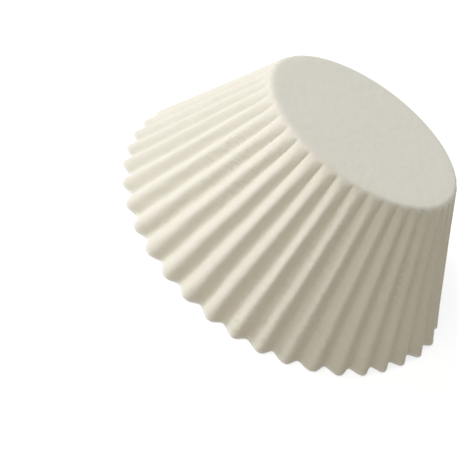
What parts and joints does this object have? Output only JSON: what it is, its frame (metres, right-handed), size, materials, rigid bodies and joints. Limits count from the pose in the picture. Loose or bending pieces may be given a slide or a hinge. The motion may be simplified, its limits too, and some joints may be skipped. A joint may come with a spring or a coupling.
{
  "type": "cupcake liner",
  "caption": "Fluted white paper baking cup with a flat round base, pressed from one sheet and standing on its open mouth.",
  "frame": {"origin": "on the plane of the open mouth's edge, below the middle of the round base", "axes": "+Z along the cup's axis, from the open mouth at the bottom to the closed base on top; +X and +Y lie on the mouth's plane"},
  "size_m": [0.092, 0.0902, 0.0328],
  "materials": {
    "baking_paper": "matt"
  },
  "bodies": {
    "root": {"fluted_liner": "baking_paper"}
  },
  "joints": []
}
